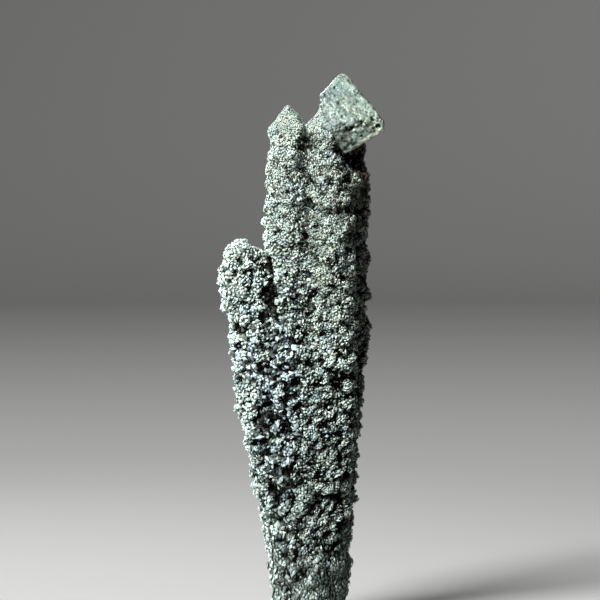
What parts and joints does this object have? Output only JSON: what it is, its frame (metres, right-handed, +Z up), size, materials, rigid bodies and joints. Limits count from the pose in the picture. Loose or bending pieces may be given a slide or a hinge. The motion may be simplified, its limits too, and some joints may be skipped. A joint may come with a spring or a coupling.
{
  "type": "quartz cluster",
  "caption": "Slender upright crystal cluster: fused fingers covered in fine metallic-looking druse, one capped by a large octahedral crystal, cut off flat at the foot.",
  "frame": {"origin": "middle of the foot's flat cut face", "axes": "+Z up the fingers, +X towards the capped right finger, -Y towards the side that shows"},
  "size_m": [0.0303, 0.0177, 0.0987],
  "materials": {
    "druse": "fine sparkling crystals, pale grey-green with a satin metallic glint"
  },
  "bodies": {
    "root": {"crystal_cluster": "druse"}
  },
  "joints": []
}
